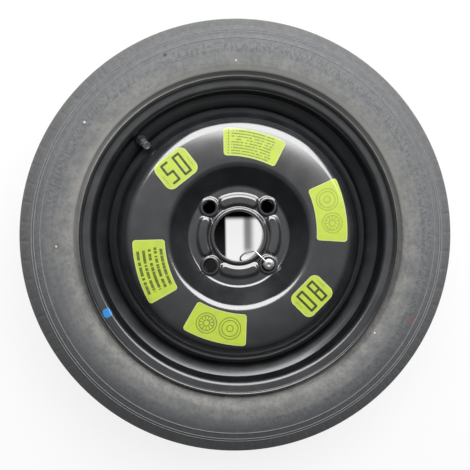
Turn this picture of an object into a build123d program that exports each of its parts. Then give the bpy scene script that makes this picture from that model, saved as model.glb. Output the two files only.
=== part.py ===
from build123d import *
import os
from math import atan2, cos, degrees, radians, sin, tan

os.makedirs("parts", exist_ok=True)

# All sizes are millimetres and degrees. The wheel lies on its back sidewall with its axis along Z.
# The origin is the middle of the hub face, at z = 0, and +Z points out of the vehicle.

# Rim: one rolled strip of steel
rim_sheet = 2.5
rim_width = 101.6
wheel_offset = 25.0
bead_seat_radius = 190.1
seat_length = 22.0
seat_taper = 5.0
flange_height = 16.0
flange_width = 10.5
flange_bend = 4.0
lip_turn = 4.8
well_radius = 172.8
well_width = 38.0

# Disc: one steel pressing, its front side measured from the hub face
disc_sheet = 4.0
press_gap = 0.05
skirt_length = 22.0
skirt_setback = 1.5
outer_wall_run = 12.5
shoulder_run = 13.0
shoulder_drop = 10.5
crown_height = 28.5
crown_inner_radius = 97.5
recess_mouth_run = 8.0
recess_mouth_drop = 6.0
recess_foot_radius = 75.0
recess_foot_rise = 4.0
hub_flat_radius = 65.0
bore_radius = 32.55
bore_lip_wall = 4.0
bore_lip_height = 2.5
bolt_circle_radius = 54.0
bolt_count = 4
bolt_angle = 45.0
bolt_hole_radius = 7.5
bolt_seat_radius = 9.3
bolt_seat_angle = 60.0
bolt_boss_radius = 14.0
bolt_boss_height = 2.0
boss_draft = 40.0
pad_radius = 50.5
pad_width = 18.0
pad_span = 42.0
pad_height = 2.6
pad_draft = 25.0

# Welds that join the disc to the rim at the back
weld_leg = 3.6
weld_span = 30.0
weld_count = 4
weld_angle = 45.0
weld_gap = 0.03

# Tyre: one hollow moulding
tyre_radius = 284.5
section_width = 134.0
bead_gap = 0.12
bead_toe_length = 18.0
bead_flange_clearance = 0.8
widest_radius = 228.0
foot_roundness = 3.0
foot_shares = (1.0, 0.66, 0.3)
buttress_roundness = 2.2
buttress_shares = (0.0, 0.25, 0.5, 0.75, 1.0)
tread_width = 84.0
tread_edge_drop = 4.0
sidewall_thickness = 7.5
crown_thickness = 9.5
cavity_foot_run = 39.0
cavity_shoulder_share = 22.0 / 52.5
cavity_crown_width = 72.0
groove_width = 7.0
groove_depth = 4.0
groove_spacing = 21.0
groove_count = 3

# Valve: a rubber stem snapped into the rim, a brass tube in it, a screwed-in core and a cap
valve_angle = 135.0
valve_hole_radius = 5.75
stem_gap = 0.15
stem_flange_radius = 8.5
stem_flange_height = 3.5
stem_foot_radius = 6.0
stem_foot_height = 4.5
stem_bulb_radius = 7.4
stem_bulb_height = 4.0
stem_neck_radius = 5.6
stem_height = 14.5
insert_radius = 2.9
insert_gap = 0.02
thread_radius = 3.85
thread_length = 9.0
core_bore_radius = 2.55
core_bore_depth = 11.5
core_seat_length = 1.0
air_bore_radius = 1.95
core_gap = 0.05
plug_setback = 1.8
plug_length = 7.4
pin_radius = 0.5
pin_clearance = 0.35
pin_setback = 0.6
barrel_radius = 1.7
barrel_wall = 0.5
barrel_floor = 0.8
barrel_length = 10.0
seal_thickness = 1.0
seal_clearance = 0.03
cup_radius = 1.5
cup_thickness = 0.6
shoulder_radius = 1.0
shoulder_thickness = 0.6
spring_length = 6.4
spring_wire = 0.3
spring_turns = 4
chords_per_turn = 8
cap_gap = 0.12
cap_wall = 1.0
cap_top = 2.0
cap_foot_gap = 0.4
cap_flute_count = 10
cap_flute_width = 1.1
cap_flute_depth = 0.35
washer_radius = 3.4
washer_thickness = 1.2
washer_gap = 0.08

# Stickers on the crown of the disc
sticker_thickness = 0.2
sticker_gap = 0.02
sticker_inset = 2.625
number_width = 47.0
number_height = 37.0
number_corner = 9.0
sector_height = 41.0
sector_bend_radius = 155.0
sector_span = 28.0
sector_corner = 4.0
upper_number_angle = 133.0
lower_number_angle = 319.5
top_lines_angle = 82.0
left_lines_angle = 199.4
right_rings_angle = 14.5
bottom_rings_angle = 254.7
sticker_skew = -5.0
bottom_rings_skew = -1.5


def bent_sheet(front, thickness):
    """Close the outline of a bent sheet whose front side has these corners, with mitred bends."""
    back = []
    for here, corner in enumerate(front):
        before = front[max(here - 1, 0)]
        after = front[min(here + 1, len(front) - 1)]
        arriving = atan2(corner[1] - before[1], corner[0] - before[0])
        leaving = atan2(after[1] - corner[1], after[0] - corner[0])
        if here == 0:
            arriving = leaving
        if here == len(front) - 1:
            leaving = arriving
        turn = (leaving - arriving + radians(180)) % radians(360) - radians(180)
        reach = thickness / cos(turn / 2)
        normal = arriving + turn / 2 + radians(90)
        back.append((corner[0] + reach * cos(normal), corner[1] + reach * sin(normal)))
    return [*front, *reversed(back)]


# Rim: the front half of the tyre side of the strip runs from the rolled lip down to the well
half_rim = rim_width / 2
rim_plane = Plane(origin=(0, 0, -wheel_offset), x_dir=(1, 0, 0), z_dir=(0, -1, 0))
flange_radius = bead_seat_radius + flange_height
hump_radius = bead_seat_radius - seat_length * tan(radians(seat_taper))
hump_height = half_rim - seat_length
front_half = [
    (flange_radius - lip_turn, half_rim + flange_width),
    (flange_radius, half_rim + flange_bend),
    (flange_radius - flange_bend, half_rim),
    (bead_seat_radius, half_rim),
    (hump_radius, hump_height),
    (well_radius, well_width / 2),
]
back_half = [(radius, -height) for radius, height in front_half]

# Valve: its hole is square to the middle of the slope between the front bead seat and the well
slope_run = hump_radius - well_radius
slope_rise = hump_height - well_width / 2
valve_lean = degrees(atan2(slope_rise, slope_run))
valve_frame = Plane.XY.rotated((0, 0, valve_angle)).offset(-wheel_offset)
valve_seat = valve_frame.from_local_coords(
    Vector(well_radius + slope_run / 2, 0, well_width / 2 + slope_rise / 2)
)
valve_direction = valve_frame.from_local_coords(
    Vector(-sin(radians(valve_lean)), 0, cos(radians(valve_lean)))
) - valve_frame.origin
valve_across = valve_frame.y_dir
valve_plane = Plane(origin=valve_seat, x_dir=valve_across, z_dir=valve_across.cross(valve_direction))
valve_axis = Axis(valve_seat, valve_direction)

with BuildPart() as wheel_rim:
    with BuildSketch(rim_plane):
        with BuildLine():
            Polyline(*bent_sheet([*back_half, *reversed(front_half)], rim_sheet), close=True)
        make_face()
    revolve(axis=Axis.Z)
    with BuildSketch(Plane(origin=valve_seat, z_dir=valve_direction)):
        Circle(valve_hole_radius)
    extrude(amount=2 * rim_sheet, both=True, mode=Mode.SUBTRACT)
wheel_rim.part.label = "wheel_rim"
export_step(wheel_rim.part, "parts/wheel_rim.step")

# Disc: pressed to a crown round a recessed hub, with a skirt pushed into the well of the rim
skirt_radius = well_radius - rim_sheet - press_gap
skirt_top = well_width / 2 - wheel_offset - skirt_setback
skirt_end = skirt_top - skirt_length
wall_top_radius = skirt_radius - outer_wall_run
crown_outer_radius = wall_top_radius - shoulder_run
lip_radius = bore_radius + bore_lip_wall
disc_front = [
    (skirt_radius, skirt_end),
    (skirt_radius, skirt_top),
    (wall_top_radius, crown_height - shoulder_drop),
    (crown_outer_radius, crown_height),
    (crown_inner_radius, crown_height),
    (crown_inner_radius - recess_mouth_run, crown_height - recess_mouth_drop),
    (recess_foot_radius, disc_sheet + recess_foot_rise),
    (hub_flat_radius, disc_sheet),
    (bore_radius, disc_sheet),
]
with BuildPart() as wheel_disc:
    with BuildSketch(Plane.XZ):
        with BuildLine():
            Polyline(*bent_sheet(disc_front, disc_sheet), close=True)
        make_face()
        with Locations(((bore_radius + lip_radius) / 2, disc_sheet + bore_lip_height / 2)):
            Rectangle(bore_lip_wall, bore_lip_height)
    revolve(axis=Axis.Z)
    with BuildSketch(Plane.XY.offset(disc_sheet)):
        with PolarLocations(0, bolt_count, start_angle=bolt_angle + 180 / bolt_count):
            SlotArc(CenterArc((0, 0), pad_radius, -pad_span / 2, pad_span), pad_width)
    extrude(amount=pad_height, taper=pad_draft)
    with BuildSketch(Plane.XY):
        with PolarLocations(0, bolt_count, start_angle=bolt_angle + 180 / bolt_count):
            SlotArc(CenterArc((0, 0), pad_radius, -pad_span / 2, pad_span), pad_width - disc_sheet)
    extrude(amount=pad_height, taper=pad_draft, mode=Mode.SUBTRACT)
    with BuildSketch(Plane.XY.offset(disc_sheet)):
        with PolarLocations(bolt_circle_radius, bolt_count, start_angle=bolt_angle):
            Circle(bolt_boss_radius)
    extrude(amount=bolt_boss_height, taper=boss_draft)
    with Locations(Plane.XY.offset(disc_sheet + bolt_boss_height)):
        with PolarLocations(bolt_circle_radius, bolt_count, start_angle=bolt_angle):
            CounterSinkHole(bolt_hole_radius, bolt_seat_radius, counter_sink_angle=bolt_seat_angle)
wheel_disc.part.label = "wheel_disc"
export_step(wheel_disc.part, "parts/wheel_disc.step")

# Welds: four fillets in the corner between the end of the skirt and the well
with BuildPart() as disc_welds:
    with BuildSketch(Plane.XZ.rotated((0, 0, weld_angle - weld_span / 2))):
        with BuildLine():
            Polyline(
                (skirt_radius, skirt_end - weld_gap),
                (skirt_radius - weld_leg, skirt_end - weld_gap),
                (skirt_radius, skirt_end - weld_gap - weld_leg),
                close=True,
            )
        make_face()
    first_weld = revolve(axis=Axis.Z, revolution_arc=weld_span, mode=Mode.PRIVATE)
    with PolarLocations(0, weld_count):
        add(first_weld)
disc_welds.part.label = "disc_welds"
export_step(disc_welds.part, "parts/disc_welds.step")

# Tyre: the front half of the section runs from the cavity's crown round the bead to the tread's edge
half_section = section_width / 2
cavity_height = half_section - sidewall_thickness
toe_height = half_rim - bead_gap - bead_toe_length
toe_radius = bead_seat_radius - (half_rim - toe_height) * tan(radians(seat_taper)) + bead_gap
foot_radius = flange_radius + bead_flange_clearance
foot_height = half_rim - bead_gap
foot_drop = half_section - foot_height
buttress_run = tyre_radius - tread_edge_drop - widest_radius
buttress_drop = half_section - tread_width / 2
cavity_shoulder_radius = widest_radius + buttress_run * cavity_shoulder_share
foot_curve = [
    (widest_radius - (widest_radius - foot_radius) * share, half_section - foot_drop * share**foot_roundness)
    for share in foot_shares
]
buttress_curve = [
    (widest_radius + buttress_run * share, half_section - buttress_drop * share**buttress_roundness)
    for share in buttress_shares
]
front_tyre = [
    (tyre_radius - crown_thickness, cavity_crown_width / 2),
    (cavity_shoulder_radius, cavity_height),
    (toe_radius + cavity_foot_run, cavity_height),
    (toe_radius, toe_height),
    (bead_seat_radius + bead_gap, foot_height),
    *foot_curve,
    *buttress_curve,
]
back_tyre = [(radius, -height) for radius, height in reversed(front_tyre)]
with BuildPart() as tyre:
    with BuildSketch(rim_plane):
        with BuildLine():
            Polyline(*front_tyre, (tyre_radius, 0), *back_tyre, close=True)
        make_face()
        with Locations((tyre_radius, 0)):
            with GridLocations(0, groove_spacing, 1, groove_count):
                Rectangle(2 * groove_depth, groove_width, mode=Mode.SUBTRACT)
    revolve(axis=Axis.Z)
tyre.part.label = "tyre"
export_step(tyre.part, "parts/tyre.step")

# Valve stem: rubber, with a groove that grips the edge of the rim's hole
groove_radius = valve_hole_radius - stem_gap
insert_top = stem_height + thread_length
stem_end = -stem_flange_height - stem_foot_height
with BuildPart() as valve_stem:
    with BuildSketch(valve_plane):
        with BuildLine():
            Polyline(
                (insert_radius + insert_gap, stem_end),
                (stem_foot_radius, stem_end),
                (stem_foot_radius, -stem_flange_height),
                (stem_flange_radius, -stem_flange_height),
                (stem_flange_radius, -stem_gap),
                (groove_radius, -stem_gap),
                (groove_radius, rim_sheet + stem_gap),
                (stem_bulb_radius, rim_sheet + stem_gap),
                (stem_bulb_radius, rim_sheet + stem_bulb_height),
                (stem_neck_radius, rim_sheet + stem_bulb_height + stem_bulb_radius - stem_neck_radius),
                (stem_neck_radius, stem_height),
                (insert_radius + insert_gap, stem_height),
                close=True,
            )
        make_face()
    revolve(axis=valve_axis)
valve_stem.part.label = "valve_stem"
export_step(valve_stem.part, "parts/valve_stem.step")

# Valve insert: a brass tube, wider where it is threaded, with a seat for the core
core_seat_top = insert_top - core_bore_depth
with BuildPart() as valve_insert:
    with BuildSketch(valve_plane):
        with BuildLine():
            Polyline(
                (air_bore_radius, stem_end),
                (insert_radius, stem_end),
                (insert_radius, stem_height + insert_gap),
                (thread_radius, stem_height + insert_gap),
                (thread_radius, insert_top),
                (core_bore_radius, insert_top),
                (core_bore_radius, core_seat_top),
                (air_bore_radius, core_seat_top - core_seat_length),
                close=True,
            )
        make_face()
    revolve(axis=valve_axis)
valve_insert.part.label = "valve_insert"
export_step(valve_insert.part, "parts/valve_insert.step")

# Valve core: a screwed plug holds a gasket and a barrel, and a sprung pin closes the barrel's floor
plug_top = insert_top - plug_setback
plug_end = plug_top - plug_length
pin_hole_radius = pin_radius + pin_clearance
with BuildPart() as valve_core_plug:
    with BuildSketch(valve_plane):
        with Locations(((core_bore_radius - core_gap + pin_hole_radius) / 2, (plug_top + plug_end) / 2)):
            Rectangle(core_bore_radius - core_gap - pin_hole_radius, plug_length)
    revolve(axis=valve_axis)
valve_core_plug.part.label = "valve_core_plug"
export_step(valve_core_plug.part, "parts/valve_core_plug.step")

barrel_top = plug_end - core_gap
barrel_end = barrel_top - barrel_length
barrel_bore_radius = barrel_radius - barrel_wall
with BuildPart() as valve_core_barrel:
    with BuildSketch(valve_plane):
        with BuildLine():
            Polyline(
                (pin_hole_radius, barrel_end),
                (barrel_radius, barrel_end),
                (barrel_radius, barrel_top),
                (barrel_bore_radius, barrel_top),
                (barrel_bore_radius, barrel_end + barrel_floor),
                (pin_hole_radius, barrel_end + barrel_floor),
                close=True,
            )
        make_face()
    revolve(axis=valve_axis)
valve_core_barrel.part.label = "valve_core_barrel"
export_step(valve_core_barrel.part, "parts/valve_core_barrel.step")

gasket_length = barrel_top - core_seat_top - core_gap
gasket_inner_radius = barrel_radius + core_gap
gasket_outer_radius = core_bore_radius - core_gap
with BuildPart() as valve_core_gasket:
    with BuildSketch(valve_plane):
        with Locations(((gasket_inner_radius + gasket_outer_radius) / 2, barrel_top - gasket_length / 2)):
            Rectangle(gasket_outer_radius - gasket_inner_radius, gasket_length)
    revolve(axis=valve_axis)
valve_core_gasket.part.label = "valve_core_gasket"
export_step(valve_core_gasket.part, "parts/valve_core_gasket.step")

seal_top = barrel_end - seal_clearance
cup_top = seal_top - seal_thickness
spring_start = barrel_end + barrel_floor + core_gap
shoulder_start = spring_start + spring_length + core_gap
with BuildPart() as valve_core_pin:
    with BuildSketch(valve_plane):
        with BuildLine():
            Polyline(
                (0, cup_top - cup_thickness),
                (cup_radius, cup_top - cup_thickness),
                (cup_radius, cup_top),
                (pin_radius, cup_top),
                (pin_radius, shoulder_start),
                (shoulder_radius, shoulder_start),
                (shoulder_radius, shoulder_start + shoulder_thickness),
                (pin_radius, shoulder_start + shoulder_thickness),
                (pin_radius, insert_top - pin_setback),
                (0, insert_top - pin_setback),
                close=True,
            )
        make_face()
    revolve(axis=valve_axis)
valve_core_pin.part.label = "valve_core_pin"
export_step(valve_core_pin.part, "parts/valve_core_pin.step")

with BuildPart() as valve_core_seal:
    with BuildSketch(valve_plane):
        with Locations(((pin_radius + core_gap + cup_radius) / 2, (cup_top + seal_top) / 2)):
            Rectangle(cup_radius - core_gap - pin_radius, seal_thickness)
    revolve(axis=valve_axis)
valve_core_seal.part.label = "valve_core_seal"
export_step(valve_core_seal.part, "parts/valve_core_seal.step")

# Spring: the coil runs in short straight chords of square wire
spring_radius = (pin_radius + barrel_bore_radius) / 2
spring_rise = spring_length - spring_wire
chord_count = spring_turns * chords_per_turn
coil_frame = Plane(origin=valve_seat, x_dir=valve_across, z_dir=valve_direction)
coil_points = []
for chord in range(chord_count + 1):
    turn = radians(360 * chord / chords_per_turn)
    height = spring_start + spring_wire / 2 + spring_rise * chord / chord_count
    place = Vector(spring_radius * cos(turn), spring_radius * sin(turn), height)
    coil_points.append(coil_frame.from_local_coords(place))
wire_start = Plane(coil_points[0], x_dir=valve_direction, z_dir=coil_points[1] - coil_points[0])
with BuildPart() as valve_core_spring:
    with BuildLine() as coil:
        Polyline(*coil_points)
    with BuildSketch(wire_start):
        Rectangle(spring_wire, spring_wire)
    sweep(path=coil.line, transition=Transition.RIGHT)
valve_core_spring.part.label = "valve_core_spring"
export_step(valve_core_spring.part, "parts/valve_core_spring.step")

# Valve cap: a moulded screw cap with grip flutes and a sealing washer inside it
cap_bore_radius = thread_radius + cap_gap
cap_radius = cap_bore_radius + cap_wall
cap_foot = stem_height + cap_foot_gap
washer_end = insert_top + washer_gap
cap_ceiling = washer_end + washer_thickness + washer_gap
with BuildPart() as valve_cap:
    with BuildSketch(valve_plane):
        with BuildLine():
            Polyline(
                (cap_bore_radius, cap_foot),
                (cap_radius, cap_foot),
                (cap_radius, cap_ceiling + cap_top),
                (0, cap_ceiling + cap_top),
                (0, cap_ceiling),
                (cap_bore_radius, cap_ceiling),
                close=True,
            )
        make_face()
    revolve(axis=valve_axis)
    with BuildSketch(Plane(origin=valve_seat, x_dir=valve_across, z_dir=valve_direction).offset(cap_foot)):
        with PolarLocations(cap_radius, cap_flute_count):
            Rectangle(2 * cap_flute_depth, cap_flute_width)
    extrude(amount=cap_ceiling - cap_foot, mode=Mode.SUBTRACT)
valve_cap.part.label = "valve_cap"
export_step(valve_cap.part, "parts/valve_cap.step")

with BuildPart() as valve_cap_seal:
    with BuildSketch(valve_plane):
        with Locations((washer_radius / 2, washer_end + washer_thickness / 2)):
            Rectangle(washer_radius, washer_thickness)
    revolve(axis=valve_axis)
valve_cap_seal.part.label = "valve_cap_seal"
export_step(valve_cap_seal.part, "parts/valve_cap_seal.step")


# Stickers: each lies a little inside the middle of the crown's ring
sticker_radius = (crown_inner_radius + crown_outer_radius) / 2 - sticker_inset


def crown_plane(angle, skew):
    """Give a sticker's plane on the crown, its Y direction pointing outwards and turned by the skew."""
    crown = Plane.XY.offset(crown_height + sticker_gap).rotated((0, 0, angle - 90))
    middle = crown.from_local_coords(Vector(0, sticker_radius, 0))
    return Plane(origin=middle, x_dir=crown.x_dir, z_dir=crown.z_dir).rotated((0, 0, skew))


# Number stickers: rounded oblongs
number_stickers = {"sticker_number_upper": upper_number_angle, "sticker_number_lower": lower_number_angle}
for name, angle in number_stickers.items():
    with BuildPart() as number_sticker:
        with BuildSketch(crown_plane(angle, sticker_skew)):
            RectangleRounded(number_width, number_height, number_corner)
        extrude(amount=sticker_thickness)
    number_sticker.part.label = name
    export_step(number_sticker.part, f"parts/{name}.step")

# Curved stickers: sectors of a ring that is wider than the crown's
curved_stickers = {
    "sticker_lines_top": (top_lines_angle, sticker_skew),
    "sticker_lines_left": (left_lines_angle, sticker_skew),
    "sticker_rings_right": (right_rings_angle, sticker_skew),
    "sticker_rings_bottom": (bottom_rings_angle, bottom_rings_skew),
}
sector_outer = sector_bend_radius + sector_height / 2
sector_inner = sector_bend_radius - sector_height / 2
sector_start = 90 - sector_span / 2
for name, (angle, skew) in curved_stickers.items():
    with BuildPart() as curved_sticker:
        with BuildSketch(crown_plane(angle, skew)) as sector:
            with BuildLine():
                outer = CenterArc((0, -sector_bend_radius), sector_outer, sector_start, sector_span)
                inner = CenterArc((0, -sector_bend_radius), sector_inner, sector_start, sector_span)
                Line(outer @ 0, inner @ 0)
                Line(outer @ 1, inner @ 1)
            make_face()
            fillet(sector.vertices(), sector_corner)
        extrude(amount=sticker_thickness)
    curved_sticker.part.label = name
    export_step(curved_sticker.part, f"parts/{name}.step")
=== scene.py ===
from math import atan2, ceil, cos, hypot, pi, radians, sin, tan

import bmesh
import bpy
from mathutils import Matrix, Vector


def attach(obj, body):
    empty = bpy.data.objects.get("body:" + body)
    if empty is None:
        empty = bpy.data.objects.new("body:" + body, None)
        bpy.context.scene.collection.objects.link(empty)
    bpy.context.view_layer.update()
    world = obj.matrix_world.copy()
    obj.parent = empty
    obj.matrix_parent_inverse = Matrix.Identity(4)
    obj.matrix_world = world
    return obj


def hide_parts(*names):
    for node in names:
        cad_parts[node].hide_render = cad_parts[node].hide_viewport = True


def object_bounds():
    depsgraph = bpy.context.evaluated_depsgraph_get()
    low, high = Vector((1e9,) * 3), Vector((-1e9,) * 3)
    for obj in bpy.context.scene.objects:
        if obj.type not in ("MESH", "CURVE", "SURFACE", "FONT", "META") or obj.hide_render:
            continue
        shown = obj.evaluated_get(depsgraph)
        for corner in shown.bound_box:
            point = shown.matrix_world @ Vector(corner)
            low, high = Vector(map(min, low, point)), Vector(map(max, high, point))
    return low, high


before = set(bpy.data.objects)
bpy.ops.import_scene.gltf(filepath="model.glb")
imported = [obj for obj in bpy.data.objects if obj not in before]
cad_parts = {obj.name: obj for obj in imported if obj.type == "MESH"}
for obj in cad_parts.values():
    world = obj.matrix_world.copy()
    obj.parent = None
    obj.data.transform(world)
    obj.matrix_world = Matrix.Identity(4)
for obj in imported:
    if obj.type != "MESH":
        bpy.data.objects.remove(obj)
cad_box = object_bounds()

# Rim
# The rim is one strip of steel, rolled to a channel with a turned lip on each edge and welded to a ring.
# Black enamel covers it: the paint rounds the bends and dulls a little with dust.
mm = 0.001
rim_sheet = 2.5
rim_middle = -25.0
rim_steps = 256
bend_facet = radians(9)
cut_edge = 0.5
sharp_edge = radians(34)
merge_gap = 0.0005

# The front half of the tyre side: radius, height above the middle and inner radius of the bend
rim_half = [
    (201.3, 61.3, 0),
    (206.1, 55.6, 2.0),
    (202.1, 51.7, 2.0),
    (190.1, 50.8, 3.5),
    (188.175, 28.8, 2.5),
    (172.8, 19.0, 7.0),
]


def bent_sheet(front, thickness):
    """Close the section of a bent sheet; each corner gets the reach and facets of its rounding."""
    near = []
    far = []
    last = len(front) - 1
    for here, (radius, height, bend) in enumerate(front):
        before = front[max(here - 1, 0)]
        after = front[min(here + 1, last)]
        arriving = atan2(height - before[1], radius - before[0])
        leaving = atan2(after[1] - height, after[0] - radius)
        if here == 0:
            arriving = leaving
        if here == last:
            leaving = arriving
        turn = (leaving - arriving + pi) % (2 * pi) - pi
        mitre = thickness / cos(turn / 2)
        normal = arriving + turn / 2 + pi / 2
        inside = bend * tan(abs(turn) / 2)
        outside = (bend + thickness) * tan(abs(turn) / 2)
        facets = ceil(abs(turn) / bend_facet)
        if here in (0, last):
            inside = outside = cut_edge
            facets = 2
        near.append((radius, height, outside if turn > 0 else inside, facets))
        across = (radius + mitre * cos(normal), height + mitre * sin(normal))
        far.append((*across, inside if turn > 0 else outside, facets))
    return [*near, *reversed(far)]


def spun(section, steps):
    """Spin a closed section of radius, height, reach and facets round Z, and round its corners."""
    bm = bmesh.new()
    corners = [bm.verts.new((radius, 0, height)) for radius, height, _, _ in section]
    sides = [bm.edges.new(pair) for pair in zip(corners, [*corners[1:], corners[0]])]
    turn = dict(cent=(0, 0, 0), axis=(0, 0, 1), angle=2 * pi, steps=steps, use_merge=True)
    bmesh.ops.spin(bm, geom=[*corners, *sides], **turn)
    bmesh.ops.remove_doubles(bm, verts=bm.verts, dist=merge_gap)
    bmesh.ops.recalc_face_normals(bm, faces=bm.faces)
    rings = {}
    for edge in bm.edges:
        ends = [(round(hypot(end.co.x, end.co.y), 2), round(end.co.z, 2)) for end in edge.verts]
        if ends[0] == ends[1]:
            rings.setdefault(ends[0], []).append(edge)
    for radius, height, reach, facets in section:
        if reach:
            ring = rings[round(radius, 2), round(height, 2)]
            shape = dict(affect="EDGES", segments=facets, profile=0.5, material=-1)
            bmesh.ops.bevel(bm, geom=ring, offset=reach, offset_type="OFFSET", **shape)
    return bm


def made_object(bm, name):
    """Turn a mesh in millimetres into a smooth object in metres."""
    bmesh.ops.transform(bm, matrix=Matrix.Scale(mm, 4), verts=bm.verts)
    mesh = bpy.data.meshes.new(name)
    bm.to_mesh(mesh)
    bm.free()
    mesh.shade_smooth()
    mesh.set_sharp_from_angle(angle=sharp_edge)
    made = bpy.data.objects.new(name, mesh)
    bpy.context.scene.collection.objects.link(made)
    return made


def cut_away(made, cutter):
    """Cut a mesh in millimetres out of an object."""
    tool = made_object(cutter, "cutter")
    cut = made.modifiers.new("cut", "BOOLEAN")
    cut.object = tool
    cut.solver = "EXACT"
    cut_mesh = bpy.data.meshes.new_from_object(made.evaluated_get(bpy.context.evaluated_depsgraph_get()))
    made.modifiers.clear()
    made.data = cut_mesh
    made.data.name = made.name
    bpy.data.objects.remove(tool)
    made.data.shade_smooth()
    made.data.set_sharp_from_angle(angle=sharp_edge)


def fitted(made, material, slot, body, *nodes):
    """Give an object its finish, its body and the solids that it stands for."""
    made.data.materials.clear()
    made.data.materials.append(material)
    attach(made, body)
    if nodes:
        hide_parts(*nodes)
    return made


class Term:
    """A socket of a material's nodes, on which numbers are written as plain sums."""

    def __init__(self, tree, socket):
        self.tree = tree
        self.socket = socket

    def node(self, kind, settings, sockets, output=0):
        """Add a node: its settings first, then the values or links of its sockets."""
        made = self.tree.nodes.new(kind)
        for name, setting in settings.items():
            setattr(made, name, setting)
        for name, value in sockets.items():
            if isinstance(value, Term):
                self.tree.links.new(value.socket, made.inputs[name])
            else:
                made.inputs[name].default_value = value
        return Term(self.tree, made.outputs[output])

    def sum(self, operation, first, second):
        """Join two numbers or sockets by one operation."""
        return self.node("ShaderNodeMath", {"operation": operation}, {0: first, 1: second})

    def __add__(self, other):
        return self.sum("ADD", self, other)

    def __radd__(self, other):
        return self.sum("ADD", other, self)

    def __sub__(self, other):
        return self.sum("SUBTRACT", self, other)

    def __rsub__(self, other):
        return self.sum("SUBTRACT", other, self)

    def __mul__(self, other):
        return self.sum("MULTIPLY", self, other)

    def __rmul__(self, other):
        return self.sum("MULTIPLY", other, self)

    def __truediv__(self, other):
        return self.sum("DIVIDE", self, other)

    def __pow__(self, other):
        return self.sum("POWER", self, other)


def started(name, **constants):
    """Start a material: give it, its shader and the place on the piece in millimetres."""
    material = bpy.data.materials.new(name)
    material.use_nodes = True
    tree = material.node_tree
    shader = tree.nodes["Principled BSDF"]
    for socket, value in constants.items():
        shader.inputs[socket.replace("_", " ")].default_value = value
    coordinates = Term(tree, tree.nodes.new("ShaderNodeTexCoord").outputs["Object"])
    per_metre = (1 / mm, 1 / mm, 1 / mm)
    scaled = {0: coordinates, 1: per_metre}
    place = coordinates.node("ShaderNodeVectorMath", {"operation": "MULTIPLY"}, scaled)
    return material, shader, place


def feed(shader, **terms):
    """Link terms to the shader's sockets."""
    for socket, term in terms.items():
        term.tree.links.new(term.socket, shader.inputs[socket.replace("_", " ")])


def axes(place):
    """Split a place into its three coordinates."""
    split = place.node("ShaderNodeSeparateXYZ", {}, {0: place}).socket.node
    return [Term(place.tree, output) for output in split.outputs]


def fade(value, low, high):
    """Go smoothly from 0 to 1 between two values."""
    smooth = {"interpolation_type": "SMOOTHSTEP"}
    return value.node("ShaderNodeMapRange", smooth, {"Value": value, "From Min": low, "From Max": high})


def cloudy(place, waves, detail=3.0):
    """Give noise around a half, with so many waves to the millimetre."""
    return place.node("ShaderNodeTexNoise", {}, {"Vector": place, "Scale": waves, "Detail": detail})


def mixed(share, colour, other):
    """Mix two colours by a share of the other."""
    return share.node("ShaderNodeMix", {"data_type": "RGBA"}, {0: share, 6: colour, 7: other}, 2)


def bumped(height, distance, strength):
    """Give the normal of a surface with this height, in metres."""
    return height.node("ShaderNodeBump", {}, {"Strength": strength, "Distance": distance, "Height": height})


def gap_from(place, spot):
    """Give the distance from a spot."""
    return place.node("ShaderNodeVectorMath", {"operation": "DISTANCE"}, {0: place, 1: spot}, "Value")


def diagonal(across, upwards):
    """Give the straight distance that two square distances make."""
    return (across * across + upwards * upwards) ** 0.5


enamel_black = (0.006, 0.007, 0.009, 1)
enamel_dusty = (0.013, 0.014, 0.016, 1)
enamel_speck = (0.06, 0.06, 0.06, 1)
dull_edge = 6
dull_roughness = 0.7
clean_drop = 0.34
gloss_drop = 0.2


def enamel(name, gloss, dull_radius, dots):
    """Make black enamel of some gloss, dulled by dust beyond a radius, with dots of marking paint on it."""
    material, shader, place = started(name, IOR=1.6, Coat_IOR=1.8, Coat_Roughness=0.14)
    x, y, _ = axes(place)
    clean = fade(diagonal(x, y), dull_radius + dull_edge, dull_radius)
    dust = fade(cloudy(place, 0.035, 5.0), 0.35, 0.75)
    grain = cloudy(place, 1.4, 3.0)
    specks = fade(cloudy(place, 0.9, 1.0), 0.72, 0.78)
    colour = mixed(dust, enamel_black, enamel_dusty)
    colour = mixed(specks * 0.3, colour, enamel_speck)
    for spot, size, paint in dots:
        wander = cloudy(place, 0.25, 2.0) * size * 0.8
        gap = gap_from(place, spot)
        colour = mixed(fade(gap + wander, size * 1.45, size * 1.2), colour, paint)
    feed(shader, Base_Color=colour)
    feed(shader, Coat_Weight=gloss * clean)
    smoother = clean * (clean_drop + gloss_drop * gloss)
    feed(shader, Roughness=dull_roughness - smoother + dust * 0.08 + grain * 0.05)
    feed(shader, Normal=bumped(grain * 0.5 + dust * 0.6, 0.00003, 0.3))
    return material


def set_at(spot, direction):
    """Give the matrix that puts a piece at a spot, with its Z along a direction."""
    return Matrix.Translation(spot) @ direction.to_track_quat("Z", "Y").to_matrix().to_4x4()


rim_gloss = 0.5
rim_dull_radius = 300.0
valve_hole = 5.75
hole_facets = 48
hole_length = 4 * rim_sheet
valve_seat = Vector((-127.624, 127.624, -1.1))
valve_direction = Vector((0.380063, -0.380063, 0.84327))
valve_matrix = set_at(valve_seat, valve_direction)
blue_dot = ((-170.6, -93.9, 29.0), 6.5, (0.002, 0.200, 0.560, 1))

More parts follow.
